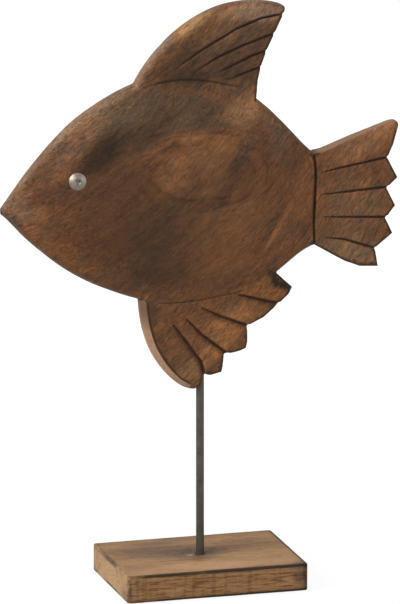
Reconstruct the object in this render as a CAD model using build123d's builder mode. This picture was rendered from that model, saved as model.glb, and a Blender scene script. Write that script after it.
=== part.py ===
from build123d import *
import os
from math import hypot, sqrt

# A carved wooden fish on a steel rod and a wooden base block, in millimetres.
# The rod stands on the Z axis, the fish lies in the XZ plane with its nose towards -X,
# and the stick-on pads under the block rest on Z = 0.

# Base block and its pads
base_length = 140.0
base_depth = 100.0
base_height = 21.0
base_corner_radius = 2.5
base_edge_radius = 0.8
pad_diameter = 14.0
pad_thickness = 1.5
pad_inset = 13.0

# Rod, its threaded stud and what clamps it
rod_diameter = 6.0
rod_exposed = 128.0
socket_depth = 66.0
glue_gap = 0.05
rod_end_chamfer = 0.5
stud_diameter = 5.0
stud_clearance = 0.15
stud_overhang = 1.0
washer_diameter = 15.0
washer_thickness = 1.2
nut_across_flats = 8.0
nut_height = 4.0
nut_chamfer = 0.5
thread_gap = 0.02
recess_clearance = 1.0
recess_spare_depth = 1.0

# Fish body, from the nose to the cut at the tail's root
nose_reach = 153.4
body_length = 239.9
body_height = 177.5
body_thickness = 45.0

# Back fin
dorsal_length = 114.0
dorsal_rise = 51.5
dorsal_thickness = 15.5
dorsal_front_round = 5.5

# Tail
tail_length = 68.3
tail_span = 112.0
tail_root_thickness = 15.5
tail_edge_thickness = 7.0
tail_tip_round = 3.6

# Belly fin
belly_length = 117.5
belly_drop = 64.5
belly_thickness = 16.5
belly_front_setback = 4.2
belly_front_bevel = 5.5

# V-cuts of the fin rays and of the tail's root
ray_width = 2.8
ray_depth = 2.3
belly_ray_slope = 4.0
root_cut_width = 3.2
root_cut_depth = 2.4
root_cut_bow = 1.6
fin_line_width = 1.8
fin_line_depth = 0.9
cut_overrun = 1.0

# Eye tacks
eye_diameter = 13.0
eye_dome = 2.6
eye_rim = 0.5
eye_dimple_diameter = 5.0
eye_dimple_depth = 0.7
eye_pin_diameter = 2.0
eye_pin_length = 11.0
eye_pin_point = 3.0
eye_seat_depth = 0.6
eye_seat_clearance = 0.1
eye_pin_gap = 0.02

# Heights and places that follow from these sizes
base_bottom = pad_thickness
base_top = base_bottom + base_height
fin_tip_height = base_top + rod_exposed
rod_top = fin_tip_height + socket_depth
body_bottom = fin_tip_height + belly_drop
body_top = body_bottom + body_height
nose_x = -nose_reach
tail_root_x = nose_x + body_length
recess_depth = washer_thickness + nut_height + stud_overhang + recess_spare_depth
washer_top = base_bottom + recess_depth
nut_top = washer_top - washer_thickness
stud_bottom = nut_top - nut_height - stud_overhang
stud_bore_diameter = stud_diameter + 2 * stud_clearance

# Where the fins and the eyes sit, as shares of the body's length and height
dorsal_front_share = 0.436
belly_front_share = 0.440
tail_middle_share = 0.435
tail_inner_share = 0.20
eye_along_share = 0.230
eye_up_share = 0.581

# Body stations: place along the length, lower and upper edge as shares of the height,
# thickness as a share of the body's, and edge radius as a share of the station's half thickness
station_shares = [
    (0.000, 0.441, 0.467, 0.07, 0.70),
    (0.015, 0.424, 0.492, 0.21, 0.78),
    (0.058, 0.360, 0.570, 0.36, 0.70),
    (0.135, 0.262, 0.694, 0.56, 0.60),
    (0.230, 0.165, 0.818, 0.74, 0.51),
    (0.333, 0.094, 0.908, 0.88, 0.45),
    (0.446, 0.037, 0.975, 0.97, 0.41),
    (0.572, 0.000, 1.000, 1.00, 0.40),
    (0.697, 0.020, 0.964, 0.96, 0.41),
    (0.817, 0.068, 0.876, 0.83, 0.46),
    (0.902, 0.135, 0.768, 0.64, 0.54),
    (0.952, 0.187, 0.695, 0.50, 0.60),
    (1.002, 0.222, 0.628, 0.37, 0.66),
    (1.036, 0.236, 0.600, 0.31, 0.68),
]

# Fin outlines, as shares of each fin's length and height
dorsal_front_shares = [
    (-0.02, -0.13), (0.06, 0.145), (0.17, 0.425), (0.36, 0.755), (0.60, 0.967), (0.80, 1.00), (0.960, 0.935),
]
dorsal_rear_shares = [
    (0.990, 0.900), (0.988, 0.860), (0.942, 0.647), (0.867, 0.303), (0.829, 0.074), (0.803, -0.16),
    (0.785, -0.65),
]
dorsal_inner_share = (0.06, -0.65)
tail_top_shares = [(-0.17, 0.24), (0.00, 0.303), (0.12, 0.318), (0.43, 0.390), (0.87, 0.485)]
tail_tip_share = (1.00, 0.500)
tail_edge_shares = [
    (0.918, 0.323), (0.852, 0.238), (0.972, 0.098), (0.848, 0.029), (0.949, -0.093),
    (0.833, -0.177), (0.917, -0.281), (0.711, -0.375), (0.748, -0.503),
]
tail_bottom_shares = [(0.530, -0.492), (0.363, -0.451), (0.183, -0.387), (0.028, -0.332), (-0.17, -0.26)]
belly_front_shares = [
    (-0.002, 0.10), (0.016, -0.164), (0.062, -0.455), (0.150, -0.728), (0.218, -0.867), (0.302, -0.972),
    (0.363, -1.00),
]
belly_edge_shares = [
    (0.396, -0.953), (0.403, -0.887), (0.418, -0.816), (0.461, -0.827), (0.532, -0.795), (0.540, -0.729),
    (0.550, -0.589), (0.609, -0.578), (0.653, -0.562), (0.694, -0.532), (0.704, -0.452), (0.705, -0.271),
    (0.809, -0.181), (0.908, -0.032), (0.978, 0.080), (1.000, 0.165), (0.892, 0.348), (0.860, 0.55),
    (0.080, 0.55),
]

# Fin rays, from their faded inner ends to past the fin's edge, as shares of the same sizes
dorsal_ray_shares = [
    [(0.233, 0.056), (0.404, 0.311), (0.654, 0.610), (0.823, 0.750), (1.000, 0.805)],
    [(0.382, 0.029), (0.539, 0.223), (0.705, 0.369), (0.950, 0.545)],
    [(0.535, -0.012), (0.663, 0.113), (0.767, 0.212), (0.910, 0.295)],
    [(0.602, -0.128), (0.705, -0.043), (0.870, 0.065)],
]
tail_ray_shares = [
    [(0.066, 0.169), (0.400, 0.200), (0.900, 0.243)],
    [(0.066, 0.018), (0.400, 0.026), (0.900, 0.037)],
    [(0.112, -0.135), (0.400, -0.149), (0.880, -0.172)],
    [(0.120, -0.275), (0.348, -0.298), (0.770, -0.389)],
]
belly_ray_shares = [
    [(0.638, 0.117), (0.740, 0.063), (0.960, -0.052)],
    [(0.396, -0.009), (0.513, -0.118), (0.740, -0.290)],
    [(0.300, -0.131), (0.403, -0.332), (0.580, -0.592)],
    [(0.212, -0.187), (0.300, -0.400), (0.400, -0.655), (0.428, -0.850)],
]
ray_fade_share = 0.45
ray_middle_share = 0.85

# Cut at the tail's root: places as shares of the tail's span, and the share of the bow at each
root_cut_shares = [
    (-0.50, 0.35), (-0.33, 0.35), (-0.14, 0.00), (0.03, 0.50), (0.14, 1.00), (0.23, 0.65), (0.31, 0.00),
    (0.50, 0.00),
]

# Carved lines where the back and belly fins come out of the body: places as shares of each fin's length,
# and how far the line runs out from the body there, as a share of the fin's rise or drop
dorsal_line_shares = [
    (0.07, 0.00), (0.17, 0.00), (0.28, 0.01), (0.40, 0.02), (0.52, 0.04), (0.64, 0.08), (0.76, 0.17),
]
belly_line_shares = [
    (0.05, 0.08), (0.15, 0.05), (0.28, 0.02), (0.40, 0.02), (0.52, 0.03), (0.64, 0.06), (0.76, 0.09),
]
line_end_share = 0.30


def body_x(along):
    return nose_x + along * body_length


def body_z(up):
    return body_bottom + up * body_height


def dorsal_place(share):
    return (body_x(dorsal_front_share) + share[0] * dorsal_length, body_top + share[1] * dorsal_rise)


def tail_place(share):
    return (tail_root_x + share[0] * tail_length, body_z(tail_middle_share) + share[1] * tail_span)


def belly_place(share):
    return (body_x(belly_front_share) + share[0] * belly_length, body_bottom + share[1] * belly_drop)


def tail_thickness_at(x):
    past_root = max(x - tail_root_x, 0) / tail_length
    return tail_root_thickness + past_root * (tail_edge_thickness - tail_root_thickness)


def oval_section(plane, half_height, half_thickness, edge_radius):
    # Two flat arcs for the faces and two tight ones for the edges, all tangent
    reach = half_height - edge_radius
    bulge = half_thickness - edge_radius
    centre_offset = (reach**2 - bulge**2) / (2 * bulge)
    slant = hypot(reach, centre_offset)
    joint_y = edge_radius * centre_offset / slant
    joint_z = reach + edge_radius * reach / slant
    with BuildSketch(plane) as section:
        with BuildLine():
            ThreePointArc((-joint_y, -joint_z), (-half_thickness, 0), (-joint_y, joint_z))
            ThreePointArc((-joint_y, joint_z), (0, half_height), (joint_y, joint_z))
            ThreePointArc((joint_y, joint_z), (half_thickness, 0), (joint_y, -joint_z))
            ThreePointArc((joint_y, -joint_z), (0, -half_height), (-joint_y, -joint_z))
        make_face()
    return section.sketch


def v_cut(path, upper_width, lower_width, depth, fades):
    # A V-shaped groove along places (x, y, z) on a fin's left face, each with its own share of the depth
    outward = Vector(0, -1, 0)
    tall = depth + cut_overrun
    upper_wide = upper_width * tall / depth
    lower_wide = lower_width * tall / depth
    with BuildPart() as groove:
        sections = []
        for index, place in enumerate(path):
            before = Vector(*path[max(index - 1, 0)])
            after = Vector(*path[min(index + 1, len(path) - 1)])
            along = (after - before).normalized()
            across = outward.cross(along)
            apex = Vector(*place) - outward * (depth * fades[index])
            with BuildSketch(Plane(origin=apex, x_dir=across, z_dir=along)) as section:
                with BuildLine():
                    Polyline((0, 0), (upper_wide, tall), (-lower_wide, tall), close=True)
                make_face()
            sections.append(section.sketch)
        loft(sections=sections, ruled=True)
    return groove.part


def ray_cut(shares, to_place, half_thickness_at, lower_width):
    path = []
    for share in shares:
        x, z = to_place(share)
        path.append((x, -half_thickness_at(x), z))
    fades = [1.0] * len(path)
    fades[0] = ray_fade_share
    fades[1] = ray_middle_share
    return v_cut(path, ray_width / 2, lower_width, ray_depth, fades)


# Body: a domed leaf with rounded edges
with BuildPart() as body:
    stations = []
    for along, low_share, high_share, thick_share, edge_share in station_shares:
        half_height = (high_share - low_share) * body_height / 2
        half_thickness = thick_share * body_thickness / 2
        middle = (body_x(along), 0, body_z(low_share) + half_height)
        station = Plane(origin=middle, x_dir=(0, 1, 0), z_dir=(1, 0, 0))
        stations.append(oval_section(station, half_height, half_thickness, edge_share * half_thickness))
    loft(sections=stations)


def fin_line(shares, to_place, half_thickness, above):
    # Follows the body's own surface where a fin's left face meets it, and runs out from it at its ends
    path = []
    for along, out in shares:
        x, z = to_place((along, out))
        run_out = z - to_place((along, 0))[1]
        upright = Axis((x, -half_thickness, body_bottom), (0, 0, 1))
        met = []
        for face in body.faces():
            met += [place.Z for place, normal in face.find_intersection_points(upright)]
        path.append((x, -half_thickness, max(met) + run_out if above else min(met) - run_out))
    fades = [1.0] * len(path)
    fades[0] = line_end_share
    fades[-1] = line_end_share
    return v_cut(path, fin_line_width / 2, fin_line_width / 2, fin_line_depth, fades)


# Back fin: a plate swept back to a rounded tip, with a rounded front edge
with BuildPart() as dorsal:
    with BuildSketch(Plane.XZ):
        with BuildLine():
            front = Spline(*[dorsal_place(share) for share in dorsal_front_shares])
            rear = Polyline(front @ 1, *[dorsal_place(share) for share in dorsal_rear_shares])
            Polyline(rear @ 1, dorsal_place(dorsal_inner_share), front @ 0)
        make_face()
    extrude(amount=dorsal_thickness / 2, both=True)
    sides = dorsal.faces().filter_by(Axis.Y)
    fillet(sides.edges().filter_by(GeomType.BSPLINE), dorsal_front_round)

# Tail: a plate with a scalloped rear edge that thins towards it
with BuildPart() as tail:
    with BuildSketch(Plane.XZ) as tail_outline:
        with BuildLine():
            top = Polyline(*[tail_place(share) for share in tail_top_shares], tail_place(tail_tip_share))
            rear = Polyline(top @ 1, *[tail_place(share) for share in tail_edge_shares])
            Polyline(rear @ 1, *[tail_place(share) for share in tail_bottom_shares], top @ 0)
        make_face()
        fillet(tail_outline.vertices().sort_by_distance(top @ 1)[0], tail_tip_round)
    extrude(amount=tail_root_thickness / 2, both=True)
    with BuildSketch(Plane.XY.offset(body_z(tail_middle_share))):
        with BuildLine():
            inner_x = tail_root_x - tail_inner_share * tail_length
            outer_x = tail_root_x + tail_length + cut_overrun
            half_inner = tail_edge_thickness / 2
            half_start = tail_root_thickness / 2
            half_end = tail_thickness_at(outer_x) / 2
            Polyline(
                (inner_x, -half_inner), (tail_root_x, -half_start), (outer_x, -half_end),
                (outer_x, half_end), (tail_root_x, half_start), (inner_x, half_inner), close=True,
            )
        make_face()
    extrude(amount=tail_span, both=True, mode=Mode.INTERSECT)

# Belly fin: a plate with a bevelled front edge, which takes the rod at its lowest tip
with BuildPart() as belly:
    with BuildSketch(Plane.XZ):
        with BuildLine():
            front = Spline(*[belly_place(share) for share in belly_front_shares])
            Polyline(front @ 1, *[belly_place(share) for share in belly_edge_shares], front @ 0)
        make_face()
    extrude(amount=belly_thickness / 2, both=True)
    for side in belly.faces().filter_by(Axis.Y):
        front_edge = side.edges().filter_by(GeomType.BSPLINE)
        chamfer(front_edge, length=belly_front_setback, length2=belly_front_bevel, reference=side)

# Rays of the three fins and the cut at the tail's root, on both faces
with BuildPart() as carving:
    for shares in dorsal_ray_shares:
        add(ray_cut(shares, dorsal_place, lambda x: dorsal_thickness / 2, ray_width / 2))
    for shares in tail_ray_shares:
        add(ray_cut(shares, tail_place, lambda x: tail_thickness_at(x) / 2, ray_width / 2))
    for shares in belly_ray_shares:
        add(ray_cut(shares, belly_place, lambda x: belly_thickness / 2, belly_ray_slope))
    root_path = []
    for share, bow_share in root_cut_shares:
        root_x, root_z = tail_place((0, share))
        root_path.append((root_x + bow_share * root_cut_bow, -tail_root_thickness / 2, root_z))
    add(v_cut(root_path, root_cut_width / 2, root_cut_width / 2, root_cut_depth, [1.0] * len(root_path)))
    add(fin_line(dorsal_line_shares, dorsal_place, dorsal_thickness / 2, True))
    add(fin_line(belly_line_shares, belly_place, belly_thickness / 2, False))
    mirror(about=Plane.XZ)


def eye_seats():
    # Where a line across the head meets its two sides, sunk by the seat's depth
    across = Axis((body_x(eye_along_share), 0, body_z(eye_up_share)), (0, 1, 0))
    met = []
    for face in body.faces():
        met += face.find_intersection_points(across)
    met.sort(key=lambda hit: hit[0].Y)
    seats = []
    for place, normal in (met[0], met[-1]):
        out = normal if normal.Y * place.Y > 0 else -normal
        seats.append(Plane(origin=place - out * eye_seat_depth, x_dir=(0, 0, 1), z_dir=out))
    return seats


left_seat, right_seat = eye_seats()

# The whole carving, bored from below for the rod, with seats and pin holes for the eyes
with BuildPart() as carved_fish:
    add(body.part)
    add(dorsal.part)
    add(tail.part)
    add(belly.part)
    add(carving.part, mode=Mode.SUBTRACT)
    with BuildSketch(Plane.XY.offset(fin_tip_height - cut_overrun)):
        Circle(rod_diameter / 2 + glue_gap)
    extrude(amount=socket_depth + cut_overrun, mode=Mode.SUBTRACT)
    for seat in (left_seat, right_seat):
        with BuildSketch(seat):
            Circle(eye_diameter / 2 + eye_seat_clearance)
        extrude(amount=eye_diameter, mode=Mode.SUBTRACT)
        with BuildSketch(seat):
            Circle(eye_pin_diameter / 2 + eye_pin_gap)
        extrude(amount=-(eye_pin_length + eye_pin_gap), mode=Mode.SUBTRACT)


def eye_tack(seat):
    # A domed head with a dimple at its middle, on a pointed pin
    head_radius = eye_diameter / 2
    dimple_radius = eye_dimple_diameter / 2
    pin_radius = eye_pin_diameter / 2
    crown = eye_dome - eye_rim
    sphere_radius = (head_radius**2 + crown**2) / (2 * crown)

    def dome_height(radius):
        return eye_dome - sphere_radius + sqrt(sphere_radius**2 - radius**2)

    half_way = (head_radius + dimple_radius) / 2
    dimple_edge = dome_height(dimple_radius)
    dimple_floor = dimple_edge - eye_dimple_depth
    dimple_sphere = (dimple_radius**2 + eye_dimple_depth**2) / (2 * eye_dimple_depth)
    dimple_half = dimple_radius / 2
    dimple_rise = dimple_sphere - sqrt(dimple_sphere**2 - dimple_half**2)
    profile_plane = Plane(origin=seat.origin, x_dir=seat.x_dir, z_dir=-seat.y_dir)
    with BuildPart() as tack:
        with BuildSketch(profile_plane):
            with BuildLine():
                Polyline(
                    (0, dimple_floor), (0, -eye_pin_length), (pin_radius, eye_pin_point - eye_pin_length),
                    (pin_radius, 0), (head_radius, 0), (head_radius, eye_rim),
                )
                ThreePointArc(
                    (head_radius, eye_rim), (half_way, dome_height(half_way)), (dimple_radius, dimple_edge),
                )
                ThreePointArc(
                    (dimple_radius, dimple_edge), (dimple_half, dimple_floor + dimple_rise),
                    (0, dimple_floor),
                )
            make_face()
        revolve(axis=Axis(seat.origin, seat.z_dir))
    return tack


left_eye_tack = eye_tack(left_seat)
right_eye_tack = eye_tack(right_seat)

# Rod, with a thinner threaded stud below its shoulder
with BuildPart() as stand_rod:
    with BuildSketch(Plane.XY.offset(base_top)):
        Circle(rod_diameter / 2)
    extrude(amount=rod_top - base_top)
    with BuildSketch(Plane.XY.offset(stud_bottom)):
        Circle(stud_diameter / 2)
    extrude(amount=base_top - stud_bottom)
    ends = stand_rod.faces().sort_by(Axis.Z)
    chamfer([ends[0].edges()[0], ends[-1].edges()[0]], rod_end_chamfer)

# Base block, bored for the stud and recessed below for its washer and nut
with BuildPart() as base_block:
    with BuildSketch(Plane.XY.offset(base_bottom)):
        RectangleRounded(base_length, base_depth, base_corner_radius)
    extrude(amount=base_height)
    fillet(base_block.faces().filter_by(Axis.Z).edges(), base_edge_radius)
    with Locations(Plane(origin=(0, 0, base_bottom), z_dir=(0, 0, -1))):
        CounterBoreHole(stud_bore_diameter / 2, washer_diameter / 2 + recess_clearance, recess_depth)

# Washer and nut that clamp the rod's shoulder onto the block
with BuildPart() as rod_washer:
    with BuildSketch(Plane.XY.offset(nut_top)):
        Circle(washer_diameter / 2)
        Circle(stud_bore_diameter / 2, mode=Mode.SUBTRACT)
    extrude(amount=washer_thickness)

with BuildPart() as nut_blank:
    with BuildSketch(Plane.XY.offset(nut_top)):
        Circle(nut_across_flats / sqrt(3))
    extrude(amount=-nut_height)
    chamfer(nut_blank.faces().filter_by(Axis.Z).edges(), nut_chamfer)

with BuildPart() as rod_nut:
    add(nut_blank.part)
    with BuildSketch(Plane.XY.offset(nut_top)):
        RegularPolygon(nut_across_flats / 2, 6, major_radius=False)
    extrude(amount=-nut_height, mode=Mode.INTERSECT)
    with BuildSketch(Plane.XY.offset(nut_top)):
        Circle(stud_diameter / 2 + thread_gap)
    extrude(amount=-nut_height, mode=Mode.SUBTRACT)


def corner_pad(x, y):
    with BuildPart() as pad:
        with BuildSketch(Plane(origin=(x, y, 0))):
            Circle(pad_diameter / 2)
        extrude(amount=pad_thickness)
    return pad


pad_x = base_length / 2 - pad_inset
pad_y = base_depth / 2 - pad_inset
pieces = {
    "carved_fish": carved_fish,
    "left_eye_tack": left_eye_tack,
    "right_eye_tack": right_eye_tack,
    "stand_rod": stand_rod,
    "base_block": base_block,
    "rod_washer": rod_washer,
    "rod_nut": rod_nut,
    "front_left_pad": corner_pad(-pad_x, -pad_y),
    "front_right_pad": corner_pad(pad_x, -pad_y),
    "rear_left_pad": corner_pad(-pad_x, pad_y),
    "rear_right_pad": corner_pad(pad_x, pad_y),
}

os.makedirs("parts", exist_ok=True)
for name, piece in pieces.items():
    piece.part.label = name
    export_step(piece.part, f"parts/{name}.step")
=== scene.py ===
import bpy
import math
import numpy as np
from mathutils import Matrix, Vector


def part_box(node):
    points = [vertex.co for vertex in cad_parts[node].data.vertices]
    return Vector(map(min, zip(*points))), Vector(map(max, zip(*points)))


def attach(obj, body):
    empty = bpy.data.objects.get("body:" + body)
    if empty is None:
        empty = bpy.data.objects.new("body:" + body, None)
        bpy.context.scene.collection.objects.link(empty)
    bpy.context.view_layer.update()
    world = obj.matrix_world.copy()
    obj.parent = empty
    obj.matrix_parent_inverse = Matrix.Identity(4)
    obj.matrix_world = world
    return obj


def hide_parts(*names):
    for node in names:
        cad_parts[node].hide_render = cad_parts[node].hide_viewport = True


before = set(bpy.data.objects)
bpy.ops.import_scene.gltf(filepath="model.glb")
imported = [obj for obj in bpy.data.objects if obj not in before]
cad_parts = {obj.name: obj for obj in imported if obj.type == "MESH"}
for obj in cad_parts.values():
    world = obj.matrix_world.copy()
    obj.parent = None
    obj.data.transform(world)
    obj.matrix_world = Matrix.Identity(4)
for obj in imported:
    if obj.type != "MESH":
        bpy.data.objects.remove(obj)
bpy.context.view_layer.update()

mm = 0.001


# helpers for meshes
def deselectAll():
    for item in bpy.context.selected_objects:
        item.select_set(False)


def takeUp(piece):
    deselectAll()
    bpy.context.view_layer.objects.active = piece
    piece.select_set(True)


def applyModifier(piece, kind, **settings):
    modifier = piece.modifiers.new(kind.lower(), kind)
    for name, value in settings.items():
        setattr(modifier, name, value)
    takeUp(piece)
    bpy.ops.object.modifier_apply(modifier=modifier.name)


def copyOfNode(nodeName, pieceName):
    piece = bpy.data.objects.new(pieceName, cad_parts[nodeName].data.copy())
    bpy.context.scene.collection.objects.link(piece)
    piece.data.materials.clear()
    takeUp(piece)
    bpy.ops.object.mode_set(mode="EDIT")
    bpy.ops.mesh.select_all(action="SELECT")
    bpy.ops.mesh.remove_doubles(threshold=0.000005)
    bpy.ops.object.mode_set(mode="OBJECT")
    return piece


def points(mesh):
    flat = np.empty(len(mesh.vertices) * 3)
    mesh.vertices.foreach_get("co", flat)
    return flat.reshape(-1, 3)


def pointNormals(mesh):
    flat = np.empty(len(mesh.vertices) * 3)
    mesh.vertex_normals.foreach_get("vector", flat)
    return flat.reshape(-1, 3)


def cloudTexture(name, size, depth):
    texture = bpy.data.textures.new(name, "CLOUDS")
    texture.noise_scale = size
    texture.noise_depth = depth
    return texture


def displaceBy(piece, texture, depth, middle):
    applyModifier(
        piece, "DISPLACE", texture=texture, texture_coords="LOCAL", strength=depth, mid_level=middle,
    )


def storeMark(piece, label, values):
    attribute = piece.data.attributes.new(label, "FLOAT", "POINT")
    attribute.data.foreach_set("value", values.astype(np.float32))


# grooves read below zero and edges above, measured against a much smoother copy
def markCarving(piece, label, passes, reach):
    smooth = bpy.data.objects.new(piece.name + "Smooth", piece.data.copy())
    bpy.context.scene.collection.objects.link(smooth)
    applyModifier(smooth, "SMOOTH", factor=0.5, iterations=passes)
    raised = points(piece.data) - points(smooth.data)
    height = (raised * pointNormals(smooth.data)).sum(axis=1)
    bpy.data.objects.remove(smooth)
    storeMark(piece, label, np.clip(height / reach, -1, 1))


# sharp edges, spread over the surface by a few steps from point to point
def markEdges(piece, label, carvingLabel, sharp, steps):
    carving = np.empty(len(piece.data.vertices), dtype=np.float32)
    piece.data.attributes[carvingLabel].data.foreach_get("value", carving)
    ends = np.empty(len(piece.data.edges) * 2, dtype=np.int32)
    piece.data.edges.foreach_get("vertices", ends)
    first, second = ends.reshape(-1, 2).T
    ease, fade = 0.10, 0.93
    edge = np.clip((carving - sharp) / ease, 0, 1)
    for step in range(steps):
        spread = edge.copy()
        np.maximum.at(spread, first, edge[second] * fade)
        np.maximum.at(spread, second, edge[first] * fade)
        edge = spread
    storeMark(piece, label, edge)


# share of nearness to a path in the plank, given by places in x and z
def nearPath(piece, path, reach):
    spots = points(piece.data)[:, [0, 2]]
    away = np.full(len(spots), reach)
    for start, end in zip(path[:-1], path[1:]):
        first = np.array(start)
        line = np.array(end) - first
        share = np.clip((spots - first) @ line / (line @ line), 0, 1)
        away = np.minimum(away, np.linalg.norm(spots - first - share[:, None] * line, axis=1))
    return 1 - away / reach


# how far each spot near a path faces a direction
def markFacing(piece, label, direction, path, reach):
    near = np.clip(nearPath(piece, path, reach) * 4, 0, 1)
    storeMark(piece, label, pointNormals(piece.data) @ np.array(direction) * near)
    storeMark(piece, label + "Near", near)


# shade that fades away from paths on their lower side and towards their inner ends
def markShade(piece, label, paths, reach):
    spots = points(piece.data)[:, [0, 2]]
    shade = np.zeros(len(spots))
    for path in paths:
        legs = len(path) - 1
        for index in range(legs):
            first = np.array(path[index])
            line = np.array(path[index + 1]) - first
            length = np.linalg.norm(line)
            along = (spots - first) @ line / length ** 2
            below = (spots - first) @ np.array((line[1], -line[0])) / length
            on = (along > -0.02) & (along < 1.02) & (below > 0)
            strength = np.clip(0.35 + (index + along) / legs, 0, 1)
            shade = np.maximum(shade, np.where(on, (1 - below / reach) * strength, 0))
    storeMark(piece, label, shade)


def thinTo(piece, triangles):
    piece.data.calc_loop_triangles()
    share = triangles / len(piece.data.loop_triangles)
    if share < 1:
        applyModifier(piece, "DECIMATE", ratio=share)


# keeps the worn surface within the box of the node that it stands for
def keepInside(piece, nodeName):
    low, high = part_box(nodeName)
    kept = np.clip(points(piece.data), np.array(low), np.array(high))
    piece.data.vertices.foreach_set("co", kept.ravel())
    piece.data.update()


def settle(piece, nodeNames):
    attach(piece, "root")
    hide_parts(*nodeNames)


# helpers for nodes
def put(tree, kind, feeds=None, **settings):
    node = tree.nodes.new("ShaderNode" + kind)
    for name, value in settings.items():
        setattr(node, name, value)
    for name, value in (feeds or {}).items():
        feed(tree, node.inputs[name], value)
    return node


def feed(tree, socket, value):
    if isinstance(value, bpy.types.NodeSocket):
        tree.links.new(value, socket)
    else:
        socket.default_value = value


def calc(tree, how, first, second=0.0):
    return put(tree, "Math", {0: first, 1: second}, operation=how).outputs[0]


def times(tree, first, second):
    return calc(tree, "MULTIPLY", first, second)


def plus(tree, first, second):
    return calc(tree, "ADD", first, second)


def less(tree, first, second):
    return calc(tree, "SUBTRACT", first, second)


def objectPlace(tree):
    return put(tree, "TexCoord").outputs["Object"]


def meshMark(tree, label):
    return put(tree, "Attribute", attribute_name=label).outputs["Fac"]


def evenSize(tree, value):
    return put(tree, "CombineXYZ", {"X": value, "Y": value, "Z": value}).outputs[0]


def driftBy(tree, vector, reach, share):
    shift = put(tree, "VectorMath", {0: reach, "Scale": share}, operation="SCALE").outputs[0]
    return put(tree, "VectorMath", {0: vector, 1: shift}, operation="ADD").outputs[0]


def between(tree, value, low, high, start=0.0, end=1.0):
    feeds = {"Value": value, "From Min": low, "From Max": high, "To Min": start, "To Max": end}
    return put(tree, "MapRange", feeds, interpolation_type="SMOOTHSTEP").outputs["Result"]


def tint(tree, share, first, second, how="MIX"):
    node = put(tree, "Mix", data_type="RGBA", blend_type=how)
    feed(tree, node.inputs[0], share)
    feed(tree, node.inputs[6], first)
    feed(tree, node.inputs[7], second)
    return node.outputs[2]


def grainNoise(tree, vector, size, detail=2.0, rough=0.5, turn=0.0, shift=(0.0, 0.0, 0.0)):
    placing = {"Vector": vector, "Location": shift, "Rotation": (0.0, turn, 0.0), "Scale": size}
    placed = put(tree, "Mapping", placing, vector_type="TEXTURE").outputs[0]
    feeds = {"Vector": placed, "Scale": 1.0, "Detail": detail, "Roughness": rough}
    return put(tree, "TexNoise", feeds).outputs["Fac"]


def ringNoise(tree, ring, width, detail):
    feeds = {"W": calc(tree, "DIVIDE", ring, width), "Scale": 1.0, "Detail": detail, "Roughness": 0.55}
    return put(tree, "TexNoise", feeds, noise_dimensions="1D").outputs["Fac"]


def ramp(tree, value, stops):
    node = put(tree, "ValToRGB", {"Fac": value})
    while len(node.color_ramp.elements) < len(stops):
        node.color_ramp.elements.new(0.5)
    for element, (place, colour) in zip(node.color_ramp.elements, stops):
        element.position = place
        element.color = (*colour, 1.0)
    return node.outputs["Color"]


def newGroup(name, inputs, outputs):
    tree = bpy.data.node_groups.new(name, "ShaderNodeTree")
    for label, kind, start in inputs:
        socket = tree.interface.new_socket(label, in_out="INPUT", socket_type="NodeSocket" + kind)
        if start is not None:
            socket.default_value = start
    for label, kind in outputs:
        tree.interface.new_socket(label, in_out="OUTPUT", socket_type="NodeSocket" + kind)
    given = tree.nodes.new("NodeGroupInput").outputs
    result = tree.nodes.new("NodeGroupOutput").inputs
    return tree, given, result


def useGroup(tree, name, feeds):
    node = tree.nodes.new("ShaderNodeGroup")
    node.node_tree = bpy.data.node_groups[name]
    for label, value in feeds.items():
        feed(tree, node.inputs[label], value)
    return node.outputs


def oval(tree, vector, place, reach):
    return useGroup(tree, "woodMark", {"Vector": vector, "Place": place, "Reach": reach})["Mask"]


# rays that see the floor and the sky directly, mirrored or through glass
def seenRays(tree):
    rays = put(tree, "LightPath").outputs
    seen = calc(tree, "MAXIMUM", rays["Is Camera Ray"], rays["Is Glossy Ray"])
    return calc(tree, "MAXIMUM", seen, rays["Is Transmission Ray"])


def newMaterial(name):
    material = bpy.data.materials.new(name)
    material.use_nodes = True
    tree = material.node_tree
    shader = tree.nodes["Principled BSDF"]
    return material, tree, shader


# node groups shared by the woods and the metals
# short pores and fibres: X of the vector runs along the grain
def makeFibreGroup():
    tree, given, result = newGroup(
        "woodFibre",
        [("Vector", "Vector", None), ("Length", "Float", 0.007), ("Width", "Float", 0.0009)],
        [("Pores", "Float"), ("Sheen", "Float"), ("Height", "Float")],
    )
    width = given["Width"]
    size = put(tree, "CombineXYZ", {"X": given["Length"], "Y": width, "Z": width}).outputs[0]
    coarse = grainNoise(tree, given["Vector"], size, 1.0, 0.4)
    finer = put(tree, "VectorMath", {0: size, 1: (0.45, 0.4, 0.4)}, operation="MULTIPLY").outputs[0]
    fine = grainNoise(tree, given["Vector"], finer, 2.0, 0.55, 0.0, (0.31, 0.12, 0.07))
    wider = put(tree, "VectorMath", {0: size, 1: (2.6, 3.2, 3.2)}, operation="MULTIPLY").outputs[0]
    streak = grainNoise(tree, given["Vector"], wider, 2.0, 0.5, 0.0, (0.17, 0.05, 0.23))
    coarsePore = between(tree, coarse, 0.56, 0.74)
    finePore = between(tree, fine, 0.52, 0.74)
    pores = calc(tree, "MAXIMUM", times(tree, coarsePore, 0.8), finePore)
    tree.links.new(pores, result["Pores"])
    light = times(tree, between(tree, coarse, 0.46, 0.28), between(tree, streak, 0.40, 0.62))
    tree.links.new(light, result["Sheen"])
    raised = less(tree, times(tree, streak, 0.6), times(tree, pores, 0.8))
    tree.links.new(raised, result["Height"])


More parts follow.
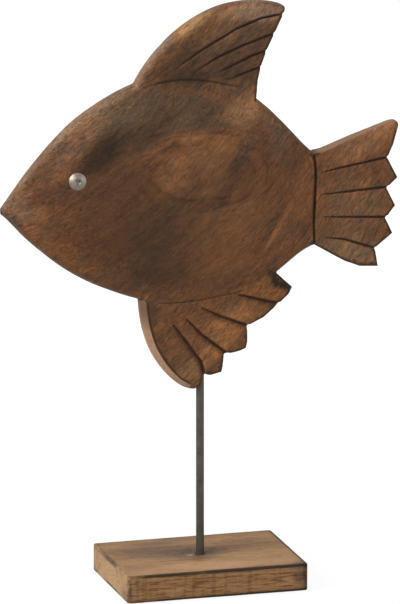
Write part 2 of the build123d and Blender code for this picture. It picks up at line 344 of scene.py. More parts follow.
# a soft mark in the plank, an oval that is feathered along the grain
def makeMarkGroup():
    tree, given, result = newGroup(
        "woodMark",
        [
            ("Vector", "Vector", None), ("Place", "Vector", None), ("Reach", "Vector", None),
            ("Turn", "Float", 0.0), ("Core", "Float", 0.15),
        ],
        [("Mask", "Float")],
    )
    turned = put(tree, "CombineXYZ", {"Y": given["Turn"]}).outputs[0]
    placing = {
        "Vector": given["Vector"], "Location": given["Place"], "Rotation": turned, "Scale": given["Reach"],
    }
    placed = put(tree, "Mapping", placing, vector_type="TEXTURE").outputs[0]
    away = put(tree, "VectorMath", {0: placed}, operation="LENGTH").outputs["Value"]
    tree.links.new(between(tree, away, 1.15, given["Core"]), result["Mask"])


# burnt and rubbed edges and painted shade in the cuts, from the carving measured on the mesh
def makeBurnGroup():
    tree, given, result = newGroup(
        "woodBurn",
        [
            ("Vector", "Vector", None), ("Carving", "Float", 0.0), ("Start", "Float", 0.2),
            ("Patch", "Float", 0.03), ("Bare", "Float", 0.45),
        ],
        [("Cut", "Float"), ("Edge", "Float")],
    )
    size = evenSize(tree, given["Patch"])
    patch = grainNoise(tree, given["Vector"], size, 3.0, 0.6)
    tree.links.new(between(tree, given["Carving"], -0.12, -0.50), result["Cut"])
    edge = between(tree, given["Carving"], given["Start"], plus(tree, given["Start"], 0.22))
    bareLow = less(tree, given["Bare"], 0.12)
    burnt = between(tree, patch, bareLow, plus(tree, given["Bare"], 0.12))
    tree.links.new(times(tree, edge, burnt), result["Edge"])


# mottled, faintly scratched metal: Z of the vector runs along the scratches
def makeMetalGroup():
    tree, given, result = newGroup(
        "dullMetal",
        [("Vector", "Vector", None), ("Patch", "Float", 0.004), ("Scratch", "Float", 0.0004)],
        [("Tone", "Float"), ("Rough", "Float"), ("Height", "Float")],
    )
    size = evenSize(tree, given["Patch"])
    patch = grainNoise(tree, given["Vector"], size, 4.0, 0.6)
    longer = times(tree, given["Scratch"], 30.0)
    line = put(tree, "CombineXYZ", {"X": given["Scratch"], "Y": given["Scratch"], "Z": longer}).outputs[0]
    scratch = grainNoise(tree, given["Vector"], line, 2.0, 0.6)
    tree.links.new(between(tree, patch, 0.30, 0.70), result["Tone"])
    tree.links.new(times(tree, patch, scratch), result["Rough"])
    tree.links.new(scratch, result["Height"])


makeFibreGroup()
makeMarkGroup()
makeBurnGroup()
makeMetalGroup()
print("node groups made")

# camera
shot = {"aim": (0.0, 0.0, 0.2166), "back": (-0.26535, -0.93461, 0.23684), "distance": 5.962, "lens": 476.8}


def addCamera():
    back = Vector(shot["back"]).normalized()
    bpy.ops.object.camera_add(location=Vector(shot["aim"]) + back * shot["distance"])
    camera = bpy.context.object
    camera.rotation_euler = (-back).to_track_quat("-Z", "Y").to_euler()
    camera.data.sensor_width = 36.0
    camera.data.lens = shot["lens"]
    camera.data.clip_end = 60.0
    bpy.context.scene.camera = camera


addCamera()
print("camera set")

# the carved fish
fishShape = {
    "voxel": 0.5 * mm, "softPasses": 4, "waveSize": 26 * mm, "waveDepth": 0.5 * mm,
    "carvingPasses": 60, "carvingReach": 0.8 * mm, "hollowPasses": 180, "hollowReach": 1.2 * mm,
    "triangles": 196000,
    "rubPath": [(0.092, 0.328), (0.153, 0.348)], "rubReach": 6 * mm, "rubPasses": 40,
    "edgeSharp": 0.38, "bluntSharp": 0.20, "edgeSteps": 4,
    "facings": {
        "frontBevel": {
            "direction": (-0.83, 0.0, -0.55), "reach": 11 * mm,
            "path": [(-0.0475, 0.213), (-0.046, 0.204), (-0.0406, 0.186), (-0.030, 0.168), (-0.018, 0.155)],
        },
        # the top of the tail takes a painted highlight where it faces up
        "tailTop": {
            "direction": (-0.30, 0.0, 0.95), "reach": 9 * mm,
            "path": [(0.098, 0.329), (0.112, 0.332), (0.153, 0.349)],
        },
        # the rim takes a painted highlight where it faces the upper left
        "topRim": {
            "direction": (-0.53, 0.0, 0.85), "reach": 12 * mm,
            "path": [
                (-0.152, 0.294), (-0.138, 0.312), (-0.118, 0.334), (-0.095, 0.354),
                (-0.070, 0.372), (-0.042, 0.387), (-0.035, 0.402), (-0.028, 0.412),
            ],
        },
    },
    "rayPaths": [
        [(0.0272, 0.2225), (0.0392, 0.2191), (0.0650, 0.2116)],
        [(-0.0013, 0.2144), (0.0125, 0.2074), (0.0392, 0.1963)],
        [(-0.0126, 0.2066), (-0.0004, 0.1936), (0.0204, 0.1768)],
        [(-0.0229, 0.2029), (-0.0126, 0.1892), (-0.0008, 0.1728), (0.0025, 0.1602)],
    ],
    "rayReach": 6 * mm,
}


# rubs down the edge that runs along a path
def rubEdge(piece, path, reach, passes):
    near = nearPath(piece, path, reach)
    group = piece.vertex_groups.new(name="rubbed")
    for index in np.nonzero(near > 0)[0]:
        group.add([int(index)], float(near[index]), "REPLACE")
    applyModifier(piece, "SMOOTH", factor=0.5, iterations=passes, vertex_group=group.name)
    piece.vertex_groups.clear()


def makeFish():
    fish = copyOfNode("carved_fish", "carvedFish")
    applyModifier(fish, "REMESH", mode="VOXEL", voxel_size=fishShape["voxel"])
    applyModifier(fish, "SMOOTH", factor=0.5, iterations=fishShape["softPasses"])
    rubEdge(fish, fishShape["rubPath"], fishShape["rubReach"], fishShape["rubPasses"])
    wave = cloudTexture("handWave", fishShape["waveSize"], 1)
    displaceBy(fish, wave, fishShape["waveDepth"], 1.0)
    markCarving(fish, "carving", fishShape["carvingPasses"], fishShape["carvingReach"])
    markCarving(fish, "hollow", fishShape["hollowPasses"], fishShape["hollowReach"])
    markEdges(fish, "edge", "carving", fishShape["edgeSharp"], fishShape["edgeSteps"])
    markEdges(fish, "bluntEdge", "carving", fishShape["bluntSharp"], fishShape["edgeSteps"])
    for label, facing in fishShape["facings"].items():
        markFacing(fish, label, **facing)
    markShade(fish, "rayShade", fishShape["rayPaths"], fishShape["rayReach"])
    thinTo(fish, fishShape["triangles"])
    keepInside(fish, "carved_fish")
    takeUp(fish)
    bpy.ops.object.shade_smooth()
    settle(fish, ["carved_fish"])
    return fish


fish = makeFish()
print("fish carved", len(fish.data.polygons))

# stained wood of the fish
fishWood = {
    "grainRise": 0.47, "grainBend": 1.45, "grainStart": -0.15, "grainTurn": math.radians(38),
    "ringPlace": (0.005, 0.327), "ringTilt": 0.15, "pithFront": 0.150, "ringTaper": -0.04,
    "ringWarp": 0.012, "curl": 0.0060, "driftReach": (0.018, 0.006, 0.024),
    "dome": ((-0.015, 0.0, 0.300), (0.100, 0.3, 0.085)),
    "swirl": ((0.005, 0.0, 0.323), (0.080, 0.3, 0.050)),
    "heart": ((0.005, 0.0, 0.327), (0.040, 0.3, 0.026)),
    "rings": [
        (0.28, (0.092, 0.047, 0.024)), (0.44, (0.122, 0.057, 0.027)),
        (0.56, (0.132, 0.064, 0.031)), (0.74, (0.158, 0.080, 0.038)),
    ],
    "mottle": [(0.30, (0.80, 0.86, 0.91)), (0.50, (1.01, 1.00, 0.99)), (0.70, (1.22, 1.11, 0.99))],
    "finMottle": [(0.32, (0.76, 0.82, 0.88)), (0.50, (1.00, 1.00, 1.00)), (0.68, (1.30, 1.17, 1.02))],
    "band": [(0.32, (0.70, 0.69, 0.70)), (0.50, (1.00, 1.00, 1.00)), (0.68, (1.26, 1.23, 1.17))],
    "wrinkleDark": (0.58, 0.53, 0.50, 1.0), "wrinkleLight": (1.30, 1.27, 1.22, 1.0),
    "plain": (0.138, 0.068, 0.033, 1.0), "stain": (1.09, 1.03, 0.94, 1.0),
    "fleckDark": (0.65, 0.60, 0.57, 1.0), "fleckLight": (1.33, 1.26, 1.15, 1.0),
    "dashDark": (0.52, 0.49, 0.47, 1.0), "dashLight": (1.56, 1.51, 1.43, 1.0),
    "streak": (0.58, 0.54, 0.50, 1.0),
    "cut": (0.024, 0.012, 0.006, 1.0), "burnt": (0.022, 0.014, 0.010, 1.0),
    "facet": [(0.0, (0.430, 0.290, 0.200)), (0.72, (0.362, 0.246, 0.170)), (1.0, (0.150, 0.103, 0.074))],
    "facetMottle": (0.96, 0.76, 0.66, 1.0), "facetLine": (0.030, 0.019, 0.013, 1.0),
    "tailTop": (0.250, 0.162, 0.104, 1.0), "topRim": (0.225, 0.163, 0.120, 1.0),
    "rayShade": (0.34, 0.29, 0.26, 1.0), "hollow": (0.40, 0.34, 0.30, 1.0),
    "pore": (0.36, 0.29, 0.25, 1.0), "sheen": (1.70, 1.62, 1.46, 1.0),
    "poreLength": 0.0045, "poreWidth": 0.0010,
}
# most of each tint that shows
fishShare = {
    "topRim": 0.72, "streak": 0.50, "pore": 0.42, "sheen": 0.35, "facet": 0.80, "facetMottle": 0.75,
    "facetLine": 0.85, "tailTop": 0.50, "rayShade": 0.85, "hollow": 0.82, "burnt": 0.74, "cut": 0.90,
}
# noises of the plank: size in metres along, through and across the grain, detail, roughness
fishNoise = {
    "warp": ((0.040, 0.035, 0.020), 3.0, 0.55), "broadRing": ((0.120, 0.060, 0.010), 2.0, 0.5),
    "drift": ((0.040, 0.020, 0.010), 4.0, 0.65), "rubbed": ((0.030, 0.020, 0.006), 3.0, 0.6),
    "mottle": ((0.024, 0.018, 0.014), 3.0, 0.6), "finMottle": ((0.0075, 0.0060, 0.0045), 3.0, 0.65),
    "band": ((0.090, 0.060, 0.0042), 2.0, 0.5), "wrinkle": ((0.018, 0.020, 0.0011), 3.0, 0.6),
    "curl": ((0.014, 0.008, 0.008), 1.0, 0.5), "fleck": ((0.0062, 0.0034, 0.0016), 3.0, 0.6),
    "dash": ((0.0034, 0.0016, 0.0009), 2.0, 0.6), "streak": ((0.045, 0.006, 0.0030), 3.0, 0.6),
    "rosy": ((0.006, 0.006, 0.009), 3.0, 0.6),
}
# marks of the plank: place and reach in millimetres, turn in degrees up from the nose-to-tail line,
# tone, share of the tone at the middle, and how much of the reach has it in full
fishMarks = [
    ((-70, -19, 306), (46, 18, 31), 8, (0.068, 0.0345, 0.0178), 0.80, 0.35),
    ((-70, -16, 266), (30, 14, 22), 20, (0.064, 0.033, 0.0175), 0.75, 0.30),
    ((-125, -10, 281), (24, 12, 12), -38, (0.190, 0.086, 0.043), 0.65, 0.2),
    ((48, -13, 258), (36, 14, 26), 45, (0.155, 0.070, 0.034), 0.65, 0.2),
    ((84, -8, 312), (19, 12, 13), 70, (0.076, 0.040, 0.025), 0.62, 0.2),
    ((-66, -12, 240), (20, 12, 12), -25, (0.062, 0.038, 0.024), 0.60, 0.2),
    ((24, -18, 262), (26, 14, 16), 45, (0.180, 0.084, 0.038), 0.60, 0.2),
    ((58, -11, 332), (16, 12, 10), -50, (0.150, 0.085, 0.050), 0.50, 0.2),
    ((98, -7, 292), (17, 10, 15), 0, (0.195, 0.080, 0.035), 0.65, 0.2),
    ((25, -8, 404), (36, 10, 23), 30, (0.066, 0.040, 0.026), 0.82, 0.3),
    ((41, -8, 424), (24, 10, 9), 10, (0.088, 0.054, 0.034), 0.65, 0.2),
    ((-15, -13, 369), (88, 20, 23), 2, (0.071, 0.048, 0.0315), 0.85, 0.5),
    ((-64, -12, 363), (42, 14, 19), 38, (0.112, 0.074, 0.047), 0.75, 0.2),
    ((-4, -9, 391), (58, 12, 8), 0, (0.049, 0.031, 0.0197), 0.90, 0.2),
    ((-53, -16, 347), (40, 18, 16), 32, (0.050, 0.031, 0.019), 0.88, 0.2),
    ((-80, -16, 337), (34, 18, 13), 42, (0.026, 0.0155, 0.0088), 0.97, 0.3),
    ((-82, -10, 358), (32, 12, 9), 40, (0.175, 0.110, 0.068), 0.60, 0.2),
    ((15, -9, 378), (22, 12, 10), 0, (0.155, 0.074, 0.036), 0.70, 0.2),
    ((1, -21, 338), (44, 14, 16), 8, (0.238, 0.114, 0.051), 0.82, 0.2),
    ((-20, -22, 317), (26, 10, 11), 20, (0.160, 0.077, 0.037), 0.70, 0.15),
    ((-20, -22, 299), (32, 10, 12), 8, (0.085, 0.047, 0.0230), 0.80, 0.2),
    ((-8, -21, 287), (17, 12, 9), 50, (0.070, 0.040, 0.024), 0.60, 0.2),
    ((28, -20, 331), (21, 14, 8), 62, (0.078, 0.048, 0.031), 0.90, 0.35),
    ((14, -20, 305), (32, 14, 7), 62, (0.078, 0.044, 0.026), 0.80, 0.15),
    ((-42, -19, 273), (40, 14, 33), 35, (0.057, 0.032, 0.019), 0.90, 0.2),
    ((-32, -14, 244), (34, 12, 20), 0, (0.052, 0.029, 0.0165), 0.86, 0.3),
    ((26, -19, 279), (24, 12, 12), 50, (0.156, 0.074, 0.034), 0.65, 0.15),
    ((4, -19, 258), (26, 14, 14), 30, (0.146, 0.067, 0.030), 0.75, 0.2),
    ((55, -14, 282), (38, 12, 4), 58, (0.080, 0.043, 0.025), 0.60, 0.2),
    ((61, -14, 280), (42, 12, 2.6), 58, (0.250, 0.122, 0.060), 0.85, 0.3),
    ((56, -14, 292), (30, 12, 20), 60, (0.150, 0.066, 0.031), 0.55, 0.15),
    ((58, -14, 287), (20, 12, 6), 58, (0.085, 0.047, 0.028), 0.60, 0.2),
    ((45, -17, 308), (18, 12, 9), 58, (0.165, 0.078, 0.038), 0.50, 0.2),
    ((62, -12, 262), (18, 12, 13), 45, (0.195, 0.098, 0.052), 0.50, 0.2),
    ((76, -10, 300), (30, 12, 12), 70, (0.170, 0.080, 0.040), 0.70, 0.15),
    ((36, -10, 366), (28, 12, 16), 28, (0.268, 0.151, 0.078), 0.88, 0.15),
    ((57, -9, 346), (19, 12, 10), -40, (0.132, 0.088, 0.059), 0.85, 0.2),
    ((-120, -11, 306), (26, 12, 15), 15, (0.066, 0.030, 0.0170), 0.80, 0.25),
    ((-112, -14, 313), (15, 12, 13), 0, (0.066, 0.037, 0.022), 0.60, 0.2),
    ((-133, -9, 306), (12, 12, 5), 30, (0.165, 0.066, 0.036), 0.55, 0.1),
    ((-140, -7, 303), (14, 12, 6), 42, (0.165, 0.108, 0.074), 0.60, 0.2),
    ((-138, -8, 295), (17, 12, 8), 0, (0.215, 0.125, 0.080), 0.80, 0.2),
    ((-146, -5, 288), (11, 10, 4), -40, (0.088, 0.068, 0.052), 0.85, 0.3),
    ((-102, -10, 346), (28, 12, 14), 46, (0.100, 0.066, 0.048), 0.80, 0.2),
    ((-95, -9, 353), (20, 10, 8), 45, (0.175, 0.078, 0.046), 0.55, 0.1),
    ((-76, -8, 371), (42, 10, 5), 38, (0.185, 0.122, 0.078), 0.80, 0.2),
    ((49, -8, 223), (24, 10, 11), -20, (0.195, 0.084, 0.033), 0.72, 0.2),
    ((61, -9, 231), (17, 10, 6), -34, (0.016, 0.011, 0.008), 0.97, 0.3),
    ((-8, -6, 431), (25, 9, 8), 34, (0.360, 0.213, 0.103), 0.95, 0.3),
    ((12, -8, 418), (27, 10, 13), 34, (0.150, 0.088, 0.055), 0.70, 0.2),
    ((-92, -14, 276), (42, 14, 24), -20, (0.090, 0.041, 0.0195), 0.70, 0.2),
    ((22, -8, 203), (28, 10, 13), 28, (0.275, 0.135, 0.060), 0.78, 0.2),
    ((-10, -8, 166), (18, 10, 13), 40, (0.200, 0.112, 0.058), 0.72, 0.2),
    ((-24, -8, 190), (16, 10, 14), 45, (0.110, 0.054, 0.028), 0.60, 0.2),
    ((-41, -8, 212), (16, 10, 9), 80, (0.075, 0.042, 0.026), 0.70, 0.3),
    ((-12, -8, 211), (20, 10, 9), 30, (0.165, 0.069, 0.030), 0.65, 0.2),
    ((11, -8, 184), (24, 10, 11), 35, (0.245, 0.120, 0.054), 0.78, 0.3),
    ((40, -8, 437), (38, 10, 9), 0, (0.265, 0.175, 0.122), 0.88, 0.2),
    ((-16, -8, 400), (32, 10, 15), 30, (0.056, 0.033, 0.020), 0.78, 0.2),
    ((126, -6, 332), (38, 10, 14), 22, (0.265, 0.138, 0.076), 0.72, 0.2),
    ((142, -6, 345), (15, 10, 10), 30, (0.430, 0.205, 0.108), 0.82, 0.25),
    ((118, -6, 284), (36, 10, 27), 0, (0.168, 0.098, 0.057), 0.70, 0.3),
    ((114, -6, 250), (32, 10, 15), -10, (0.205, 0.130, 0.080), 0.78, 0.3),
    ((95, -7, 256), (15, 10, 13), 0, (0.112, 0.068, 0.043), 0.65, 0.2),
]


def makeFishWood():
    material, tree, shader = newMaterial("stainedWood")
    place = objectPlace(tree)
    axes = put(tree, "SeparateXYZ", {0: place}).outputs
    # the grain rises from the nose and steepens towards the tail
    run = less(tree, axes["X"], fishWood["grainStart"])
    slope = plus(tree, times(tree, run, fishWood["grainBend"]), fishWood["grainRise"])
    rise = times(tree, run, slope)
    cosine, sine = math.cos(fishWood["grainTurn"]), math.sin(fishWood["grainTurn"])
    across = times(tree, less(tree, axes["Z"], rise), cosine)
    along = plus(tree, times(tree, axes["X"], cosine), times(tree, axes["Z"], sine))
    grain = put(tree, "CombineXYZ", {"X": along, "Y": axes["Y"], "Z": across}).outputs[0]
    # growth rings round a pith in front of the plank, so that the domed side cuts them in ovals
    warp = less(tree, grainNoise(tree, grain, *fishNoise["warp"]), 0.5)
    ringX, ringZ = fishWood["ringPlace"]
    tilted = times(tree, less(tree, axes["X"], ringX), fishWood["ringTilt"])
    side = less(tree, less(tree, axes["Z"], ringZ), tilted)
    side = plus(tree, side, times(tree, warp, fishWood["ringWarp"]))
    front = plus(tree, axes["Y"], fishWood["pithFront"])
    offset = put(tree, "CombineXYZ", {"X": side, "Y": front}).outputs[0]
    ring = put(tree, "VectorMath", {0: offset}, operation="LENGTH").outputs["Value"]
    ring = plus(tree, ring, times(tree, axes["X"], fishWood["ringTaper"]))
    ring = plus(tree, ring, times(tree, warp, fishWood["ringWarp"] * 0.3))
    rings = put(tree, "CombineXYZ", {"X": along, "Y": axes["Y"], "Z": ring}).outputs[0]
    colour = ramp(tree, grainNoise(tree, rings, *fishNoise["broadRing"]), fishWood["rings"])
    # the rings show best at the middle of the dome and are lost in flecks on the fins
    dome = oval(tree, place, *fishWood["dome"])
    colour = tint(tree, between(tree, dome, 0.0, 0.6, 0.30, 1.0), fishWood["plain"], colour)
    # marks of the plank on both sides, with edges that feather along the grain
    inward = times(tree, calc(tree, "ABSOLUTE", axes["Y"]), -1.0)
    folded = put(tree, "CombineXYZ", {"X": axes["X"], "Y": inward, "Z": axes["Z"]}).outputs[0]
    drift = less(tree, grainNoise(tree, grain, *fishNoise["drift"]), 0.5)
    drifted = driftBy(tree, folded, fishWood["driftReach"], drift)
    for spot, reach, turn, tone, share, core in fishMarks:
        feeds = {
            "Vector": drifted, "Turn": -math.radians(turn), "Core": core,
            "Place": [v * mm for v in spot], "Reach": [v * mm for v in reach],
        }
        mask = useGroup(tree, "woodMark", feeds)["Mask"]
        colour = tint(tree, times(tree, mask, share), colour, (*tone, 1.0))
    # painted highlight, in patches, on the rim from the nose up to the back fin where it faces the upper
    # left
    topRim = meshMark(tree, "topRim")
    rubbed = between(tree, grainNoise(tree, grain, *fishNoise["rubbed"]), 0.34, 0.60, 0.35, 1.0)
    rubbed = times(tree, rubbed, between(tree, topRim, 0.40, 0.90, 0.0, fishShare["topRim"]))
    colour = tint(tree, rubbed, colour, fishWood["topRim"])
    # warmer and greyer patches
    mottle = grainNoise(tree, grain, *fishNoise["mottle"])
    colour = tint(tree, 1.0, colour, ramp(tree, mottle, fishWood["mottle"]), "MULTIPLY")
    finMottle = grainNoise(tree, grain, *fishNoise["finMottle"])
    away = between(tree, dome, 0.0, 0.6, 0.85, 0.15)
    colour = tint(tree, away, colour, ramp(tree, finMottle, fishWood["finMottle"]), "MULTIPLY")
    # darker and lighter growth bands, then fine wrinkles that follow them
    swirl = oval(tree, place, *fishWood["swirl"])
    bandNoise = grainNoise(tree, rings, *fishNoise["band"])
    banded = between(tree, swirl, 0.0, 0.7, 0.10, 0.85)
    colour = tint(tree, banded, colour, ramp(tree, bandNoise, fishWood["band"]), "MULTIPLY")
    wrinkle = grainNoise(tree, rings, *fishNoise["wrinkle"])
    lined = between(tree, swirl, 0.0, 0.7, 0.14, 0.80)
    calm = between(tree, oval(tree, place, *fishWood["heart"]), 0.0, 1.0, 1.0, 0.45)
    lined = times(tree, lined, calm)
    darkLine = times(tree, between(tree, wrinkle, 0.51, 0.66), lined)
    lightLine = times(tree, between(tree, wrinkle, 0.48, 0.34), lined)
    colour = tint(tree, darkLine, colour, fishWood["wrinkleDark"], "MULTIPLY")
    colour = tint(tree, lightLine, colour, fishWood["wrinkleLight"], "MULTIPLY")
    # short flecks of lighter and darker wood along wavy fibres
    curl = less(tree, grainNoise(tree, grain, *fishNoise["curl"]), 0.5)
    wavy = plus(tree, across, times(tree, curl, fishWood["curl"]))
    fibres = put(tree, "CombineXYZ", {"X": along, "Y": axes["Y"], "Z": wavy}).outputs[0]
    fleck = grainNoise(tree, fibres, *fishNoise["fleck"])
    flecked = between(tree, dome, 0.0, 0.7, 0.85, 0.60)
    darkFleck = times(tree, between(tree, fleck, 0.48, 0.33), flecked)
    lightFleck = times(tree, between(tree, fleck, 0.53, 0.68), flecked)
    colour = tint(tree, darkFleck, colour, fishWood["fleckDark"], "MULTIPLY")
    colour = tint(tree, lightFleck, colour, fishWood["fleckLight"], "MULTIPLY")
    # fine dashes of the planed surface
    dash = grainNoise(tree, fibres, *fishNoise["dash"])
    dashed = between(tree, dome, 0.0, 0.7, 0.40, 0.20)
    darkDash = times(tree, between(tree, dash, 0.48, 0.67), dashed)
    lightDash = times(tree, between(tree, dash, 0.50, 0.33), dashed)
    colour = tint(tree, darkDash, colour, fishWood["dashDark"], "MULTIPLY")
    colour = tint(tree, lightDash, colour, fishWood["dashLight"], "MULTIPLY")
    # streaks along the grain
    streak = grainNoise(tree, grain, *fishNoise["streak"])
    streaks = between(tree, streak, 0.45, 0.72, 0.0, fishShare["streak"])
    colour = tint(tree, streaks, colour, fishWood["streak"], "MULTIPLY")
    # pores and fibres
    fibre = useGroup(tree, "woodFibre", {
        "Vector": fibres, "Length": fishWood["poreLength"], "Width": fishWood["poreWidth"],
    })
    colour = tint(tree, times(tree, fibre["Pores"], fishShare["pore"]), colour, fishWood["pore"], "MULTIPLY")
    shine = times(tree, fibre["Sheen"], fishShare["sheen"])
    colour = tint(tree, shine, colour, fishWood["sheen"], "MULTIPLY")
    # the bevel down the front of the belly fin is cut fresh and stays light inside a burnt line
    facing = meshMark(tree, "frontBevel")
    facet = between(tree, facing, 0.34, 0.48)
    strip = ramp(tree, between(tree, axes["Z"], 0.160, 0.216), fishWood["facet"])
    rosy = grainNoise(tree, place, *fishNoise["rosy"])
    rosyPatch = between(tree, rosy, 0.40, 0.64, 0.0, fishShare["facetMottle"])
    strip = tint(tree, rosyPatch, strip, fishWood["facetMottle"], "MULTIPLY")
    colour = tint(tree, times(tree, facet, fishShare["facet"]), colour, strip)
    near = meshMark(tree, "frontBevelNear")
    blunt = meshMark(tree, "bluntEdge")
    line = times(tree, between(tree, blunt, 0.4, 0.8), between(tree, facing, 0.50, 0.34))
    line = times(tree, times(tree, line, near), fishShare["facetLine"])
    colour = tint(tree, line, colour, fishWood["facetLine"])
    # painted highlight on the top of the tail, where it faces up
    tailTop = meshMark(tree, "tailTop")
    rubbed = between(tree, tailTop, 0.30, 0.70, 0.0, fishShare["tailTop"])
    colour = tint(tree, rubbed, colour, fishWood["tailTop"])
    tailNear = meshMark(tree, "tailTopNear")
    # painted shade on the lower side of the belly rays, where their gentle walls turn away from the light
    rayShade = meshMark(tree, "rayShade")
    gathered = between(tree, rayShade, 0.0, 1.0, 0.0, fishShare["rayShade"])
    colour = tint(tree, gathered, colour, fishWood["rayShade"], "MULTIPLY")
    # painted shade in the cuts, and burnt edges
    carving = meshMark(tree, "carving")
    cut = useGroup(tree, "woodBurn", {"Carving": carving})["Cut"]
    edge = meshMark(tree, "edge")
    sharp = {"Vector": place, "Carving": edge, "Start": 0.50, "Patch": 0.022, "Bare": 0.34}
    burnt = useGroup(tree, "woodBurn", sharp)["Edge"]
    colour = tint(tree, 1.0, colour, fishWood["stain"], "MULTIPLY")
    # painted shade in the broad hollows round the cuts
    hollow = meshMark(tree, "hollow")
    hollowShaded = between(tree, hollow, -0.04, -0.48, 0.0, fishShare["hollow"])
    colour = tint(tree, hollowShaded, colour, fishWood["hollow"], "MULTIPLY")
    burnt = times(tree, burnt, between(tree, facet, 1.0, 0.0, 0.0, fishShare["burnt"]))
    burnt = times(tree, burnt, between(tree, tailNear, 0.0, 1.0, 1.0, 0.12))
    colour = tint(tree, burnt, colour, fishWood["burnt"])
    # painted shade, darkest at the bottom of the cuts
    colour = tint(tree, times(tree, cut, fishShare["cut"]), colour, fishWood["cut"])
    tree.links.new(colour, shader.inputs["Base Color"])
    tree.links.new(between(tree, fibre["Pores"], 0.0, 1.0, 0.52, 0.74), shader.inputs["Roughness"])
    shader.inputs["Specular IOR Level"].default_value = 0.12
    shader.inputs["Sheen Weight"].default_value = 0.10
    shader.inputs["Sheen Roughness"].default_value = 0.35
    shader.inputs["Sheen Tint"].default_value = (0.95, 0.88, 0.80, 1.0)
    relief = less(tree, fibre["Height"], times(tree, darkFleck, 0.6))
    relief = less(tree, relief, times(tree, darkLine, 0.6))
    bump = put(tree, "Bump", {"Height": relief, "Strength": 0.60, "Distance": 0.0005})
    tree.links.new(bump.outputs[0], shader.inputs["Normal"])
    return material


fish.data.materials.append(makeFishWood())
print("fish stained")

# the base block
baseShape = {
    "voxel": 0.6 * mm, "softPasses": 6, "waveSize": 35 * mm, "waveDepth": 0.3 * mm,
    "carvingPasses": 60, "carvingReach": 0.9 * mm, "edgePasses": 220, "edgeReach": 1.8 * mm,
    "edgeSharp": 0.34, "edgeSteps": 2, "triangles": 110000,
}


def makeBase():
    base = copyOfNode("base_block", "baseBlock")
    applyModifier(base, "REMESH", mode="VOXEL", voxel_size=baseShape["voxel"])
    applyModifier(base, "SMOOTH", factor=0.5, iterations=baseShape["softPasses"])
    wave = cloudTexture("sawnWave", baseShape["waveSize"], 2)
    displaceBy(base, wave, baseShape["waveDepth"], 0.9)
    markCarving(base, "carving", baseShape["carvingPasses"], baseShape["carvingReach"])
    markCarving(base, "wideEdge", baseShape["edgePasses"], baseShape["edgeReach"])
    markEdges(base, "edge", "carving", baseShape["edgeSharp"], baseShape["edgeSteps"])
    thinTo(base, baseShape["triangles"])
    keepInside(base, "base_block")
    takeUp(base)
    bpy.ops.object.shade_smooth()
    settle(base, ["base_block"])
    return base


base = makeBase()
print("base sawn", len(base.data.polygons))

baseWood = {
    "rings": [
        (0.28, (0.200, 0.104, 0.046)), (0.44, (0.320, 0.174, 0.079)),
        (0.56, (0.370, 0.208, 0.098)), (0.74, (0.430, 0.250, 0.120)),
    ],
    "pithBelow": 0.060, "pithSide": -0.030, "ringWarp": 0.010, "broadRing": 0.011, "fineRing": 0.0022,
    "ringLine": (0.70, 0.63, 0.56, 1.0), "band": (0.72, 0.66, 0.60, 1.0),
    "smudge": (0.070, 0.043, 0.027, 1.0), "burnt": (0.022, 0.014, 0.009, 1.0),
    "pore": (0.38, 0.31, 0.25, 1.0), "sheen": (0.54, 0.34, 0.17, 1.0), "dash": (0.34, 0.26, 0.21, 1.0),
    "poreLength": 0.008, "poreWidth": 0.0010, "driftReach": (0.024, 0.016, 0.006),
}
baseShare = {"ringLine": 0.55, "pore": 0.44, "sheen": 0.25, "smudge": 0.48, "burnt": 0.88}
baseNoise = {
    "warp": ((0.080, 0.030, 0.020), 2.0, 0.5), "drift": ((0.040, 0.012, 0.010), 3.0, 0.6),
    "dash": ((0.013, 0.004, 0.0012), 3.0, 0.65), "band": ((0.0035, 0.0035, 0.060), 2.0, 0.5),
}
# marks of the block: place and reach in millimetres, tone, share of the tone at the middle
baseMarks = [
    ((-30, 12, 23), (38, 28, 8), (0.160, 0.094, 0.053), 0.85),
    ((-52, -30, 23), (30, 16, 8), (0.200, 0.118, 0.066), 0.50),
    ((-6, -35, 23), (74, 15, 8), (0.545, 0.315, 0.155), 0.86),
    ((-55, 23, 23), (28, 9, 8), (0.150, 0.094, 0.058), 0.60),
    ((60, 28, 23), (28, 26, 8), (0.390, 0.216, 0.108), 0.40),
    ((2, 40, 23), (26, 10, 8), (0.190, 0.115, 0.070), 0.50),
    ((-56, -50, 10), (16, 5, 14), (0.190, 0.100, 0.045), 0.50),
    ((-26, 37, 23), (28, 8, 8), (0.160, 0.104, 0.068), 0.80),
    ((14, 4, 23), (24, 11, 8), (0.140, 0.090, 0.058), 0.80),
    ((40, 16, 23), (36, 22, 8), (0.215, 0.118, 0.062), 0.66),
    # the front face darker all over
    ((0, -50, 11), (100, 4, 24), (0.285, 0.146, 0.060), 0.75),
    ((66, -50, 14), (12, 5, 14), (0.110, 0.066, 0.038), 0.70),
    # the left end lighter all over
    ((-70, -5, 12), (4, 80, 24), (0.455, 0.291, 0.146), 0.75),
    ((-70, -44, 6), (4, 14, 10), (0.150, 0.090, 0.050), 0.75),
    ((-3, 4, 23), (28, 26, 8), (0.072, 0.046, 0.029), 0.82),
    ((-7, -2, 23), (4, 3, 4), (0.480, 0.320, 0.190), 0.80),
    ((-34, 22, 23), (30, 3.0, 8), (0.085, 0.056, 0.038), 0.60),
    ((-22, 8, 23), (26, 2.6, 8), (0.085, 0.056, 0.038), 0.55),
    ((-50, 0, 23), (22, 2.4, 8), (0.105, 0.066, 0.040), 0.55),
    ((-18, -14, 23), (34, 2.4, 8), (0.150, 0.090, 0.050), 0.55),
    ((-70, -50, 11), (2.4, 2.4, 17), (0.070, 0.043, 0.026), 0.85),
    ((70, -50, 11), (3.4, 3.4, 17), (0.040, 0.026, 0.017), 0.90),
    ((66, -45, 23), (10, 9, 4), (0.120, 0.070, 0.042), 0.70),
]


